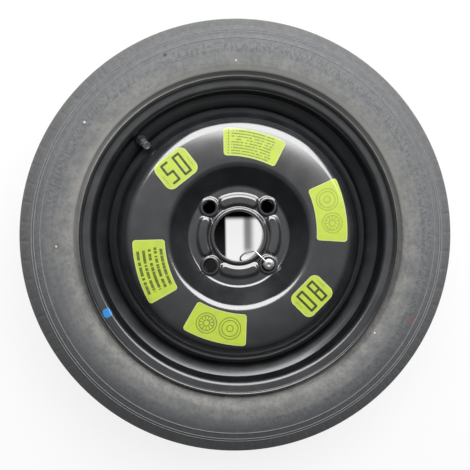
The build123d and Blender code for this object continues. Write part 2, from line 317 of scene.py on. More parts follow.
rim_back_half = [(radius, -height, bend) for radius, height, bend in rim_half]
rim = spun(bent_sheet([*rim_back_half, *reversed(rim_half)], rim_sheet), rim_steps)
bmesh.ops.translate(rim, vec=(0, 0, rim_middle), verts=rim.verts)
rim = made_object(rim, "rim")
hole = bmesh.new()
round_bar = dict(segments=hole_facets, radius1=valve_hole, radius2=valve_hole, depth=hole_length)
bmesh.ops.create_cone(hole, cap_ends=True, **round_bar)
bmesh.ops.transform(hole, matrix=valve_matrix, verts=hole.verts)
cut_away(rim, hole)
rim_enamel = enamel("rim_enamel", rim_gloss, rim_dull_radius, [blue_dot])
fitted(rim, rim_enamel, "black_enamel", "wheel", "wheel_rim")

# Disc
# The disc is one pressing of thick steel sheet: a crown round a recessed hub, with raised pads between the
# bolt bosses and a turned-up lip round the bore. Its skirt is pushed into the well of the rim.
disc_sheet = 4.0
disc_steps = 384
crown_height = 28.5
bore_radius = 32.55
hub_flat_radius = 66.5
bore_lip_foot = 38.4
bore_lip_top = 6.5
hub_rings = 30
pad_radius = 47.6
pad_half_span = radians(23)
pad_half_width = 9.8
pad_height = 2.6
boss_radius = 14.0
boss_height = 2.0
pad_softness = 6.0
boss_softness = 2.8
bolt_circle = 54.0
bolt_count = 4
bolt_hole = 7.5
bolt_seat = 9.3
bolt_facets = 64
seat_slope = tan(radians(30))
seat_overcut = 3.0
disc_gloss = 1.0
disc_dull_radius = 158.0
flat_ring_width = 15.0
flat_room = 2.0
lip_room = 0.5
recess_room = 3.0
near_enough = 0.01
disc_front = [
    (170.25, -29.5, 0),
    (170.25, -7.5, 10.0),
    (157.75, 18.0, 20.0),
    (142.5, crown_height, 12.0),
    (91.5, crown_height, 8.0),
    (hub_flat_radius, disc_sheet, 5.0),
    (bore_radius, disc_sheet, 0),
]
bore_lip = [
    (bore_lip_foot, disc_sheet, 1.6, 4),
    (36.6, bore_lip_top, 1.1, 4),
    (bore_radius, bore_lip_top, 0.9, 3),
]


def smooth_step(value):
    """Go smoothly from 0 to 1."""
    value = min(max(value, 0.0), 1.0)
    return value * value * (3 - 2 * value)


def pressed(x, y, slimmer):
    """Give how far the pads and the bosses stand up at a place on the hub."""
    radius = hypot(x, y)
    quarter = 2 * pi / bolt_count
    turned = abs((atan2(y, x) + quarter / 2) % quarter - quarter / 2)
    along = min(turned, pad_half_span)
    across = radius * cos(turned) - pad_radius * cos(along)
    upwards = radius * sin(turned) - pad_radius * sin(along)
    pad = 1 - smooth_step((hypot(across, upwards) - pad_half_width + slimmer + pad_softness) / pad_softness)
    boss_across = radius * cos(turned) - bolt_circle * cos(quarter / 2)
    boss_upwards = radius * sin(turned) - bolt_circle * sin(quarter / 2)
    beside = hypot(boss_across, boss_upwards)
    boss = 1 - smooth_step((beside - boss_radius + boss_softness) / boss_softness)
    return pad * pad_height, boss * boss_height


disc_section = bent_sheet(disc_front, disc_sheet)
front_count = len(disc_front)
disc_section = [*disc_section[: front_count - 1], *bore_lip, *disc_section[front_count:]]
disc = spun(disc_section, disc_steps)


def crosses_flat(edge):
    """Tell whether an edge crosses one of the flat rings of the hub."""
    first, second = (hypot(end.co.x, end.co.y) for end in edge.verts)
    level = abs(edge.verts[0].co.z - edge.verts[1].co.z) < near_enough
    wide = abs(first - second) > flat_ring_width
    return level and wide and max(first, second) < hub_flat_radius + flat_room


flat_edges = [edge for edge in disc.edges if crosses_flat(edge)]
bmesh.ops.subdivide_edges(disc, edges=flat_edges, cuts=hub_rings, use_grid_fill=True)
for point in disc.verts:
    if bore_lip_foot - lip_room < hypot(point.co.x, point.co.y) < hub_flat_radius + recess_room:
        if point.co.z > disc_sheet / 2:
            pad_rise, boss_rise = pressed(point.co.x, point.co.y, 0)
            point.co.z += max(pad_rise, boss_rise)
        else:
            point.co.z += pressed(point.co.x, point.co.y, disc_sheet / 2)[0]
disc = made_object(disc, "disc")
seat_top = disc_sheet + boss_height
seat_depth = (bolt_seat - bolt_hole) / seat_slope
bolt_cutter = [
    (0, -seat_overcut, 0, 0),
    (bolt_hole, -seat_overcut, 0, 0),
    (bolt_hole, seat_top - seat_depth, 0.6, 3),
    (bolt_seat, seat_top, 0, 0),
    (bolt_seat + seat_overcut * seat_slope, seat_top + seat_overcut, 0, 0),
    (0, seat_top + seat_overcut, 0, 0),
]
for number in range(bolt_count):
    round_hub = 2 * pi * (number + 0.5) / bolt_count
    cutter = spun(bolt_cutter, bolt_facets)
    middle = (bolt_circle * cos(round_hub), bolt_circle * sin(round_hub), 0)
    bmesh.ops.translate(cutter, vec=middle, verts=cutter.verts)
    cut_away(disc, cutter)
disc_enamel = enamel("disc_enamel", disc_gloss, disc_dull_radius, [])
fitted(disc, disc_enamel, "black_enamel", "wheel", "wheel_disc")

# Welds
# Four fillets of weld metal join the end of the disc's skirt to the well of the rim at the back.
# Each is laid in one pass, so its face bulges a little and is rippled; the enamel goes over it.
weld_corner = (170.25, -29.53)
weld_leg = 3.6
weld_bulge = 0.45
weld_ripple = 0.22
weld_span = radians(30)
weld_count = 4
weld_steps = 120
face_depth = weld_leg * 0.9
ripple_pitch = radians(0.9)
weld_black = (0.013, 0.013, 0.015, 1)
weld_scale = (0.040, 0.039, 0.038, 1)
weld_beads = bmesh.new()
for number in range(weld_count):
    foot = (weld_corner[0] - weld_leg, weld_corner[1])
    toe = (weld_corner[0], weld_corner[1] - weld_leg)
    face = ((foot[0] + toe[0]) / 2 - weld_bulge, (foot[1] + toe[1]) / 2 - weld_bulge)
    section = [weld_beads.verts.new((radius, 0, height)) for radius, height in (weld_corner, foot, face, toe)]
    weld_beads.faces.new(section)
    bead = [*section, *section[0].link_edges, *section[2].link_edges, *section[0].link_faces]
    first_angle = 2 * pi * (number + 0.5) / weld_count - weld_span / 2
    bmesh.ops.rotate(weld_beads, cent=(0, 0, 0), matrix=Matrix.Rotation(first_angle, 3, "Z"), verts=section)
    turn = dict(cent=(0, 0, 0), axis=(0, 0, 1), angle=weld_span, steps=weld_steps)
    bmesh.ops.spin(weld_beads, geom=bead, **turn)
bmesh.ops.remove_doubles(weld_beads, verts=weld_beads.verts, dist=merge_gap)
bmesh.ops.recalc_face_normals(weld_beads, faces=weld_beads.faces)
for point in weld_beads.verts:
    round_wheel = atan2(point.co.y, point.co.x)
    radius = hypot(point.co.x, point.co.y)
    depth = weld_corner[0] - radius + weld_corner[1] - point.co.z
    if depth > face_depth:
        lift = weld_ripple * sin(2 * pi * round_wheel / ripple_pitch)
        point.co.x -= lift * cos(round_wheel)
        point.co.y -= lift * sin(round_wheel)
        point.co.z -= lift


def weld_paint():
    """Make the enamel that lies over weld metal: rougher, with grey scale showing."""
    material, shader, place = started("weld_paint", IOR=1.55)
    scale = fade(cloudy(place, 0.7, 4.0), 0.45, 0.7)
    feed(shader, Base_Color=mixed(scale, weld_black, weld_scale))
    feed(shader, Roughness=0.3 + scale * 0.3)
    feed(shader, Normal=bumped(cloudy(place, 2.2, 3.0), 0.0002, 0.4))
    return material


weld_beads = made_object(weld_beads, "weld_beads")
fitted(weld_beads, weld_paint(), "painted_weld", "wheel", "disc_welds")

# Valve stem
# The stem is moulded rubber, bonded to its brass tube and pulled into the rim until its groove snaps
# round the hole: a flange stays inside, and a bulb and a neck show in front.
stem_steps = 64
stem_black = (0.020, 0.020, 0.022, 1)
stem_bloom = (0.055, 0.055, 0.058, 1)
stem_section = [
    (2.92, -8.0, 0, 0),
    (6.0, -8.0, 1.2, 3),
    (6.0, -3.5, 0.5, 2),
    (8.5, -3.5, 1.2, 3),
    (8.5, -0.15, 0.4, 2),
    (5.6, -0.15, 0, 0),
    (5.6, 2.65, 0, 0),
    (7.4, 2.65, 0.5, 2),
    (7.4, 6.5, 1.4, 5),
    (5.6, 8.3, 1.0, 4),
    (5.6, 14.5, 0.8, 4),
    (2.92, 14.5, 0, 0),
]


def moulded_rubber(name, dark, worn, roughness):
    """Make satin rubber or plastic with a bloom on it and fine moulding grain."""
    material, shader, place = started(name, IOR=1.5)
    bloom = fade(cloudy(place, 0.22, 4.0), 0.35, 0.7)
    feed(shader, Base_Color=mixed(bloom, dark, worn))
    feed(shader, Roughness=roughness + bloom * 0.2)
    feed(shader, Normal=bumped(cloudy(place, 3.0, 3.0), 0.0001, 0.3))
    return material


stem = spun(stem_section, stem_steps)
bmesh.ops.transform(stem, matrix=valve_matrix, verts=stem.verts)
stem_rubber = moulded_rubber("stem_rubber", stem_black, stem_bloom, 0.42)
fitted(made_object(stem, "valve_stem_rubber"), stem_rubber, "valve_rubber", "wheel", "valve_stem")

# Valve tube
# A turned brass tube runs through the stem. Its free end has a fine rolled thread for the cap and is
# bored out for the core that screws into it.
tube_section = [
    (1.95, -8.0, 0.2, 2),
    (2.9, -8.0, 0.3, 2),
    (2.9, 14.52, 0, 0),
    (3.42, 14.52, 0.2, 2),
    (3.42, 23.5, 0.3, 2),
    (2.55, 23.5, 0.2, 2),
    (2.55, 12.0, 0, 0),
    (1.95, 11.0, 0, 0),
]
thread_start = 15.2
thread_turns = 10
thread_pitch = 25.4 / 32
thread_root = 3.38
thread_crest = 3.85
thread_flank = thread_pitch * 0.45
steps_per_turn = 32
brass_bright = (0.62, 0.46, 0.20, 1)
brass_tarnish = (0.30, 0.22, 0.11, 1)


def turned_metal(name, bright, tarnish, roughness):
    """Make turned metal with fine tool marks and some tarnish."""
    material, shader, place = started(name, IOR=1.45, Metallic=1.0)
    stain = fade(cloudy(place, 0.3, 4.0), 0.42, 0.75)
    marks = cloudy(place, 4.0, 2.0)
    feed(shader, Base_Color=mixed(stain, bright, tarnish))
    feed(shader, Roughness=roughness + stain * 0.2 + marks * 0.08)
    feed(shader, Normal=bumped(marks, 0.00003, 0.3))
    return material


tube = spun(tube_section, stem_steps)
tooth = [(thread_root, -thread_flank), (thread_crest, 0), (thread_root, thread_flank)]
tooth = [tube.verts.new((radius, 0, thread_start + height)) for radius, height in tooth]
tooth_face = tube.faces.new(tooth)
climb = dict(dvec=(0, 0, thread_pitch / steps_per_turn), steps=thread_turns * steps_per_turn)
wound = dict(cent=(0, 0, 0), axis=(0, 0, 1), angle=2 * pi * thread_turns)
bmesh.ops.spin(tube, geom=[*tooth, *tooth_face.edges, tooth_face], **wound, **climb)
bmesh.ops.recalc_face_normals(tube, faces=tube.faces)
bmesh.ops.transform(tube, matrix=valve_matrix, verts=tube.verts)
brass = turned_metal("turned_brass", brass_bright, brass_tarnish, 0.24)
fitted(made_object(tube, "valve_tube"), brass, "valve_brass", "wheel", "valve_insert")

# Valve core
# The core is a tiny screwed-in assembly: a brass plug and barrel, a white gasket, and a steel pin with a
# rubber seal that a spring pulls shut. Its solids keep their shape and get their real finishes.
steel_bright = (0.60, 0.60, 0.62, 1)
steel_tarnish = (0.36, 0.35, 0.34, 1)
gasket_white = (0.80, 0.79, 0.74, 1)
gasket_yellowed = (0.66, 0.64, 0.58, 1)
steel = turned_metal("core_steel", steel_bright, steel_tarnish, 0.26)


def gasket_plastic():
    """Make waxy white sealing plastic."""
    material, shader, place = started("gasket_plastic", IOR=1.38)
    haze = cloudy(place, 1.2, 3.0)
    feed(shader, Base_Color=mixed(haze, gasket_white, gasket_yellowed))
    feed(shader, Roughness=0.35 + haze * 0.2)
    return material


def solid_finish(node, material):
    """Give a solid that stays as it is a better finish."""
    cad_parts[node].data.materials.clear()
    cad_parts[node].data.materials.append(material)


solid_finish("valve_core_plug", brass)
solid_finish("valve_core_barrel", brass)
solid_finish("valve_core_gasket", gasket_plastic())
solid_finish("valve_core_pin", steel)
solid_finish("valve_core_spring", steel)
solid_finish("valve_core_seal", stem_rubber)

# Tyre
# The tyre is one hollow moulding of rubber, narrow and tall, with three straight grooves and cross cuts in
# the tread. Rings are moulded into its side, and grey bloom, dust and old scuffs lie on it.
tyre_radius = 284.19
tread_half = 42.0
tread_edge_drop = 3.7
widest_radius = 227.5
widest_height = 67.0
foot_radius = 206.9
foot_height = 50.68
foot_power = 4.2
edge_radius = tyre_radius - tread_edge_drop
edge_power = 2.2
side_samples = 24
side_ridges = [(211.0, 2.4, 0.5), (251.5, 1.7, 0.75), (260.0, 1.5, 0.75), (263.3, 1.5, 0.75)]
groove_half = 3.5
groove_depth = 4.0
groove_draft = 0.5
groove_heights = (21.0, 0.0, -21.0)
slot_count = 70
columns_per_slot = 8
slot_end = 31.0
slot_margin = 2.5
slot_depth = 1.8
slot_draft = 0.85
tick_band = (266.5, 278.5)
tick_margin = 1.0
tick_depth = 0.35
tick_inset = 1.1
sipe_band = (5.0, 16.0)
sipe_drop = 1.5
sipe_depth = 1.6
sipe_inset = 1.1

# The inside of the section, from crown to bead: radius, height, and reach and facets of the rounding
cavity = [
    (275.0, 36.0, 8.0, 4),
    (250.0, 59.5, 8.0, 4),
    (227.635, 59.5, 8.0, 4),
    (188.635, 32.68, 1.5, 3),
    (190.22, 50.68, 5.0, 4),
]


def side_height(radius):
    """Give the height of the sidewall above the tyre's middle at a radius."""
    if radius < widest_radius:
        share = (widest_radius - radius) / (widest_radius - foot_radius)
        return widest_height - (widest_height - foot_height) * share**foot_power
    share = (radius - widest_radius) / (edge_radius - widest_radius)
    return widest_height - (widest_height - tread_half) * share**edge_power


def side_point(radius, lift):
    """Give a point of the sidewall's section, lifted square to it."""
    slope = side_height(radius + 0.5) - side_height(radius - 0.5)
    steep = hypot(slope, 1)
    return (radius - lift * slope / steep, side_height(radius) + lift / steep, 0, 0)


def tread_radius(height):
    """Give the radius of the tread at a height above the tyre's middle."""
    return tyre_radius - tread_edge_drop * (height / tread_half) ** 2


side = {}
for sample in range(1, side_samples):
    radius = foot_radius + (edge_radius - foot_radius) * sample / side_samples
    if all(abs(radius - middle) > width for middle, width, _ in side_ridges):
        side[radius] = 0
for middle, width, lift in side_ridges:
    side.update({middle - width / 2: 0, middle + width / 2: 0})
    side.update({middle - width / 5: lift, middle + width / 5: lift})
front_side = [
    *cavity,
    (foot_radius, foot_height, 0.8, 2),
    *[side_point(radius, side[radius]) for radius in sorted(side)],
    (edge_radius, tread_half, 2.4, 4),
    (tread_radius(slot_end), slot_end, 0, 0),
]
groove_floor = groove_half - groove_draft
groove_shape = [
    (groove_half, 0),
    (groove_floor, groove_depth),
    (-groove_floor, groove_depth),
    (-groove_half, 0),
]
grooves = []
for height in groove_heights:
    for wall, depth in groove_shape:
        grooves.append((tread_radius(height + wall) - depth, height + wall, 0, 0))
back_side = [(radius, -height, reach, facets) for radius, height, reach, facets in reversed(front_side)]
tyre_steps = slot_count * columns_per_slot
tyre = spun([*front_side, *grooves, *back_side], tyre_steps)


def column_of(face):
    """Give a face's column within its slot's share of the round, counted from the slot."""
    middle = face.calc_center_median()
    return int((atan2(middle.y, middle.x) % (2 * pi)) / (2 * pi) * tyre_steps) % columns_per_slot


slot_faces = []
tick_faces = []
sipe_faces = []
for face in tyre.faces:
    middle = face.calc_center_median()
    radius = hypot(middle.x, middle.y)
    height = abs(middle.z)
    first_column = column_of(face) == 0
    middle_column = column_of(face) == columns_per_slot // 2
    if first_column and tick_band[0] < radius < tick_band[1] and height > tread_half + tick_margin:
        tick_faces.append(face)
    if first_column and radius > edge_radius and slot_end < height < tread_half - slot_margin:
        slot_faces.append(face)
    if middle_column and radius > tyre_radius - sipe_drop and sipe_band[0] < height < sipe_band[1]:
        sipe_faces.append(face)
inset = dict(use_boundary=True, use_even_offset=True)
bmesh.ops.inset_region(tyre, faces=slot_faces, thickness=slot_draft, depth=-slot_depth, **inset)
bmesh.ops.inset_region(tyre, faces=tick_faces, thickness=tick_inset, depth=-tick_depth, **inset)
bmesh.ops.inset_region(tyre, faces=sipe_faces, thickness=sipe_inset, depth=-sipe_depth, **inset)
bmesh.ops.translate(tyre, vec=(0, 0, rim_middle), verts=tyre.verts)


def between(value, low, high, edge):
    """Give 1 between two values, with soft edges inside them."""
    return fade(value, low, low + edge) * fade(value, high, high - edge)


bloom_grey = (0.217, 0.213, 0.200, 1)
wall_grey = (0.129, 0.134, 0.143, 1)
shoulder_grey = (0.120, 0.119, 0.112, 1)
patch_grey = (0.106, 0.111, 0.120, 1)
streak_grey = (0.226, 0.222, 0.210, 1)
scuff_grey = (0.194, 0.194, 0.191, 1)
scrape_black = (0.085, 0.088, 0.090, 1)
rubber_black = (0.065, 0.066, 0.068, 1)
bead_light_grey = (0.387, 0.382, 0.366, 1)
lower_shade_black = (0.065, 0.068, 0.074, 1)
moulded_black = (0.077, 0.079, 0.083, 1)
ridge_highlight_grey = (0.245, 0.245, 0.252, 1)
bloom_edge = (222, 258)
shoulder_edge = (264, 280)
bead_light_edge = (222, 210)
bead_light_side = (-60, 140)
lower_shade_edge = (228, 244)
lower_shade_side = (20, -200)
moulded_band = (232.5, 247.0)
hatched_band = (252.4, 259.4)
tread_start = (281.0, 283.0)

# Marks on the sidewall: angle, radius, size and paint with its strength
tyre_marks = [
    (radians(333), 245.0, 6.0, (0.219, 0.077, 0.065, 0.45)),
    (radians(91), 222.0, 1.4, (0.581, 0.581, 0.581, 1.0)),
    (radians(143), 242.0, 1.8, (0.581, 0.581, 0.581, 1.0)),
    (radians(182), 231.0, 4.5, (0.142, 0.103, 0.077, 0.6)),
    (radians(182), 231.0, 1.5, (0.645, 0.645, 0.645, 1.0)),
    (radians(112), 247.0, 3.0, (0.026, 0.026, 0.026, 0.8)),
    (radians(323.6), 213.0, 1.4, (0.710, 0.710, 0.710, 1.0)),
]


def worn_rubber():
    """Make the tyre's rubber: grey bloom near the rim, darker to the tread, streaks, dust and marks, and
    painted light, shade and highlights.
    """
    material, shader, place = started("worn_rubber", IOR=1.45)
    x, y, z = axes(place)
    radius = diagonal(x, y)
    rings = place.node("ShaderNodeCombineXYZ", {}, {0: radius, 1: z * 0.4, 2: 0.0})
    mottle = cloudy(place, 0.02, 5.0)
    patches = fade(cloudy(place, 0.055, 6.0), 0.38, 0.68)
    streaks = cloudy(rings, 0.9, 3.0)
    grain = cloudy(place, 0.8, 4.0)
    angle = place.node("ShaderNodeMath", {"operation": "ARCTAN2"}, {0: y, 1: x})
    spokewise = place.node("ShaderNodeCombineXYZ", {}, {0: angle * 70, 1: radius * 0.12, 2: z * 0.1})
    scuffs = fade(cloudy(spokewise, 0.9, 4.0), 0.45, 0.75)
    scrapes = fade(cloudy(place, 0.2, 5.0), 0.4, 0.72)
    colour = mixed(fade(radius + mottle * 20, *bloom_edge), bloom_grey, wall_grey)
    colour = mixed(fade(radius, *shoulder_edge), colour, shoulder_grey)
    colour = mixed(patches * 0.7, colour, patch_grey)
    colour = mixed(fade(streaks, 0.45, 0.7) * 0.5, colour, streak_grey)
    colour = mixed(scuffs * 0.4, colour, scuff_grey)
    colour = mixed(scrapes * 0.45, colour, scrape_black)
    colour = mixed(fade(grain, 0.55, 0.8) * 0.5, colour, rubber_black)
    # Painted light: the rubber near the bead is painted paler towards the top, the side that the softbox
    # faces.
    bead_light = fade(radius, *bead_light_edge) * fade(y, *bead_light_side)
    colour = mixed(bead_light * 0.8, colour, bead_light_grey)
    # Painted shade: the outer sidewall is painted darker towards the bottom, the side away from the softbox.
    lower_shade = fade(y, *lower_shade_side) * fade(radius, *lower_shade_edge)
    colour = mixed(lower_shade * 0.5, colour, lower_shade_black)
    upright = place.node("ShaderNodeCombineXYZ", {}, {0: angle * 75, 1: radius * 0.16, 2: 3.0})
    short_strokes = fade(cloudy(upright, 1.0, 1.0), 0.52, 0.56)
    spread = fade(cloudy(place, 0.006, 0.0), 0.42, 0.5)
    moulded = short_strokes * between(radius, *moulded_band, 1.5) * spread
    colour = mixed(moulded * 0.5, colour, moulded_black)
    # Painted highlight: the crests of the moulded ridges are painted paler.
    for ridge, width, _ in side_ridges[1:]:
        ridge_highlight = between(radius, ridge - width * 0.45, ridge + width * 0.45, width * 0.35)
        colour = mixed(ridge_highlight * 0.6, colour, ridge_highlight_grey)
    colour = mixed(fade(radius, *tread_start) * 0.7, colour, rubber_black)
    for round_wheel, away, size, paint in tyre_marks:
        spot = (away * cos(round_wheel), away * sin(round_wheel), rim_middle + side_height(away))
        ragged = (cloudy(place, 0.9, 3.0) - 0.5) * size
        gap = gap_from(place, spot)
        colour = mixed(fade(gap + ragged, size * 1.1, size * 0.5) * paint[3], colour, (*paint[:3], 1))
    feed(shader, Base_Color=colour)
    feed(shader, Roughness=0.62 + grain * 0.25 - patches * 0.08)
    hatch = place.node("ShaderNodeMath", {"operation": "SINE"}, {0: angle * 300 + radius * 1.1})
    hatch = hatch * between(radius, *hatched_band, 0.8)
    relief = streaks * 0.6 + grain * 0.8 + hatch * 0.25 + moulded * 0.6
    feed(shader, Normal=bumped(relief, 0.00035, 0.6))
    return material


fitted(made_object(tyre, "tyre_moulding"), worn_rubber(), "tyre_rubber", "wheel", "tyre")

# Valve cap
# The cap is a black plastic moulding with grip flutes and a ring round its sunk end. It screws onto the
# tube's thread and presses a rubber washer on the tube's end.
cap_steps = 120
cap_foot = 14.9
cap_bore = 3.97
cap_radius = 4.97
cap_end = 26.86
cap_ceiling = 24.86
cap_sink = 0.8
flute_foot = 15.5
flute_top = 24.2
flute_count = 10
flute_depth = 0.35
flute_rows = 8
flute_gain = 2.2
flute_onset = 0.8
cap_black = (0.070, 0.070, 0.073, 1)
cap_bloom = (0.150, 0.150, 0.155, 1)
cap_section = [
    (cap_bore, cap_foot, 0.2, 2),
    (cap_radius, cap_foot, 0.3, 2),
    (cap_radius, flute_foot, 0, 0),
    (cap_radius, flute_top, 0, 0),
    (cap_radius, cap_end, 0.8, 4),
    (3.3, cap_end, 0.35, 3),
    (2.9, cap_end - cap_sink, 0.3, 2),
    (0, cap_end - cap_sink, 0, 0),
    (0, cap_ceiling, 0, 0),
    (cap_bore, cap_ceiling, 0, 0),
]


def is_grip(edge):
    """Tell whether an edge runs the whole height of the grip."""
    rise = abs(edge.verts[0].co.z - edge.verts[1].co.z)
    return abs(rise - flute_top + flute_foot) < near_enough


cap = spun(cap_section, cap_steps)
grip_edges = [edge for edge in cap.edges if is_grip(edge)]
bmesh.ops.subdivide_edges(cap, edges=grip_edges, cuts=flute_rows, use_grid_fill=True)
for point in cap.verts:
    if hypot(point.co.x, point.co.y) > cap_radius - near_enough and flute_foot < point.co.z < flute_top:
        wave = 0.5 + 0.5 * cos(flute_count * atan2(point.co.y, point.co.x))
        depth = flute_depth * smooth_step(flute_gain * wave - flute_onset)
        point.co.xy *= 1 - depth / cap_radius
bmesh.ops.transform(cap, matrix=valve_matrix, verts=cap.verts)
cap_plastic = moulded_rubber("cap_plastic", cap_black, cap_bloom, 0.26)
fitted(made_object(cap, "valve_cap_moulding"), cap_plastic, "cap_plastic", "cap", "valve_cap")
solid_finish("valve_cap_seal", stem_rubber)

# Stickers
# Six printed vinyl stickers are pressed onto the crown of the disc: two oblongs with a number and four
# curved ones with bars or wheel rings. The film follows the roll of the crown at its edges.
sticker_film = 0.2
number_size = (49.0, 38.5, 9.5)
curved_bend = 155.0
curved_width = curved_bend * radians(28)
curved_corner = 4.0
film_cell = 1.6
glue_gap = 0.02
uv_scale = 0.01
uv_middle = 0.5
lime = (0.45, 0.57, 0.034, 1)
faded_lime = (*(0.75 * part + 0.12 for part in lime[:3]), 1)
dirty_lime = (0.32, 0.41, 0.100, 1)
edge_lime = (0.60, 0.67, 0.30, 1)
print_ink = (0.014, 0.024, 0.005, 1)


def sticker(name, angle, radius, skew, size, bend, material):
    """Lay a rounded sticker on the crown at an angle and a radius, and bend it if it is curved."""
    width, height, corner = size
    bm = bmesh.new()
    cells = dict(x_segments=ceil(width / film_cell), y_segments=ceil(height / film_cell))
    bmesh.ops.create_grid(bm, size=0.5, **cells)
    bmesh.ops.scale(bm, vec=(width, height, 1), verts=bm.verts)
    for point in bm.verts:
        over = Vector((abs(point.co.x) - width / 2 + corner, abs(point.co.y) - height / 2 + corner))
        if min(over) > 0:
            pulled = over * (max(over) / over.length)
            point.co.x = (width / 2 - corner + pulled.x) * (1 if point.co.x > 0 else -1)
            point.co.y = (height / 2 - corner + pulled.y) * (1 if point.co.y > 0 else -1)
    print_map = bm.loops.layers.uv.new("print")
    for face in bm.faces:
        for loop in face.loops:
            spot = loop.vert.co
            loop[print_map].uv = (uv_middle + spot.x * uv_scale, uv_middle + spot.y * uv_scale)
    if bend:
        for point in bm.verts:
            turned = point.co.x / bend
            away = bend + point.co.y
            point.co.x = away * sin(turned)
            point.co.y = away * cos(turned) - bend
    outwards = radians(angle)
    place = Matrix.Translation((radius * cos(outwards), radius * sin(outwards), 0))
    place = place @ Matrix.Rotation(outwards - pi / 2 + radians(skew), 4, "Z")
    bmesh.ops.transform(bm, matrix=place, verts=bm.verts)
    for point in bm.verts:
        above = Vector((point.co.x * mm, point.co.y * mm, 1))
        point.co.z = disc.ray_cast(above, Vector((0, 0, -1)))[1].z / mm + sticker_film
    backed = bmesh.ops.extrude_face_region(bm, geom=bm.faces[:])["geom"]
    backed = [part for part in backed if isinstance(part, bmesh.types.BMVert)]
    bmesh.ops.translate(bm, vec=(0, 0, glue_gap - sticker_film), verts=backed)
    bmesh.ops.recalc_face_normals(bm, faces=bm.faces)
    return fitted(made_object(bm, name + "_film"), material, "lime_vinyl", "wheel", name)


def greatest(first, second):
    """Give the larger of two numbers."""
    return first.sum("MAXIMUM", first, second)


def size_of(value):
    """Give a number without its sign."""
    return value.node("ShaderNodeMath", {"operation": "ABSOLUTE"}, {0: value})


def bar(x, y, middle, half):
    """Give how far a place lies outside an oblong."""
    across = greatest(size_of(x - middle[0]) - half[0], 0.0)
    upwards = greatest(size_of(y - middle[1]) - half[1], 0.0)
    return diagonal(across, upwards)


def vinyl(name, size, print_mask):
    """Make lime vinyl with dark print on it, faded and a little scuffed."""
    material, shader, place = started(name, IOR=1.48, Coat_Weight=0.8, Coat_Roughness=0.12)
    tree = place.tree
    chart = Term(tree, tree.nodes.new("ShaderNodeTexCoord").outputs["UV"])
    x, y, _ = axes(chart)
    x = (x - uv_middle) / uv_scale
    y = (y - uv_middle) / uv_scale
    ink = print_mask(chart, x, y)
    width, height, corner = size
    inner = (width / 2 - corner, height / 2 - corner)
    cut_line = fade(bar(x, y, (0, 0), inner), corner - 1.3, corner - 0.7)
    worn = fade(cloudy(place, 0.5, 5.0), 0.35, 0.75)
    dirt = fade(cloudy(place, 0.12, 5.0), 0.4, 0.75)
    colour = mixed(worn * 0.35, lime, faded_lime)
    colour = mixed(dirt * 0.4, colour, dirty_lime)
    colour = mixed(cut_line * 0.6, colour, edge_lime)
    colour = mixed(ink * (1 - worn * 0.15), colour, print_ink)
    feed(shader, Base_Color=colour)
    feed(shader, Roughness=0.28 + worn * 0.18)
    feed(shader, Normal=bumped(cloudy(place, 0.35, 3.0) + worn * 0.2, 0.00012, 0.35))
    return material


digit_half = (4.3, 13.2)
digit_pen = 1.55
digit_offset = 9.3
digit_blur = 0.25
side_bar_place = (19.8, -4.0)
line_left = (-28.0, -27.5)
line_right = (20.0, 19.0)
line_spread = 12.0
bullet_place = -31.5
ring_shares = (1.0, 0.74, 0.3)
ring_pen = (0.85, 0.5)
spoke_count = 11
spoke_span = (0.32, 0.72)


def strokes(x, y, bars):
    """Draw bars with the pen: each has its middle and its half sizes."""
    nearest = bar(x, y, *bars[0])
    for middle, half in bars[1:]:
        nearest = nearest.sum("MINIMUM", nearest, bar(x, y, middle, half))
    return fade(nearest, digit_pen + digit_blur, digit_pen - digit_blur)


def digit_bars(lit, centre):
    """Give the bars of a plain seven-bar digit: top, middle, bottom and the four uprights."""
    wide, tall = digit_half
    places = {
        "top": ((centre, tall), (wide, 0.0)),
        "middle": ((centre, 0.0), (wide, 0.0)),
        "bottom": ((centre, -tall), (wide, 0.0)),
        "upper_left": ((centre - wide, tall / 2), (0.0, tall / 2)),
        "upper_right": ((centre + wide, tall / 2), (0.0, tall / 2)),
        "lower_left": ((centre - wide, -tall / 2), (0.0, tall / 2)),
        "lower_right": ((centre + wide, -tall / 2), (0.0, tall / 2)),
    }
    return [places[name] for name in lit]


round_sides = ("upper_left", "upper_right", "lower_left", "lower_right")
five = ("top", "upper_left", "middle", "lower_right", "bottom")
nought = ("top", "bottom", *round_sides)
eight = ("top", "middle", "bottom", *round_sides)


def number_print(tens):
    """Print a plain two-digit number that ends in a nought, with faint small bars at both ends."""

    def mask(chart, x, y):
        """Give the ink of the number at a place."""
        digits = strokes(x, y, [*digit_bars(tens, -digit_offset), *digit_bars(nought, digit_offset)])
        side_bars = fade(size_of(size_of(x) - side_bar_place[0]), 0.9, 0.6)
        side_bars = side_bars * fade(size_of(y - side_bar_place[1]), 6.4, 6.0)
        broken = fade(cloudy(chart, 180.0, 1.0), 0.46, 0.54)
        return greatest(digits, side_bars * broken * 0.6)

    return mask


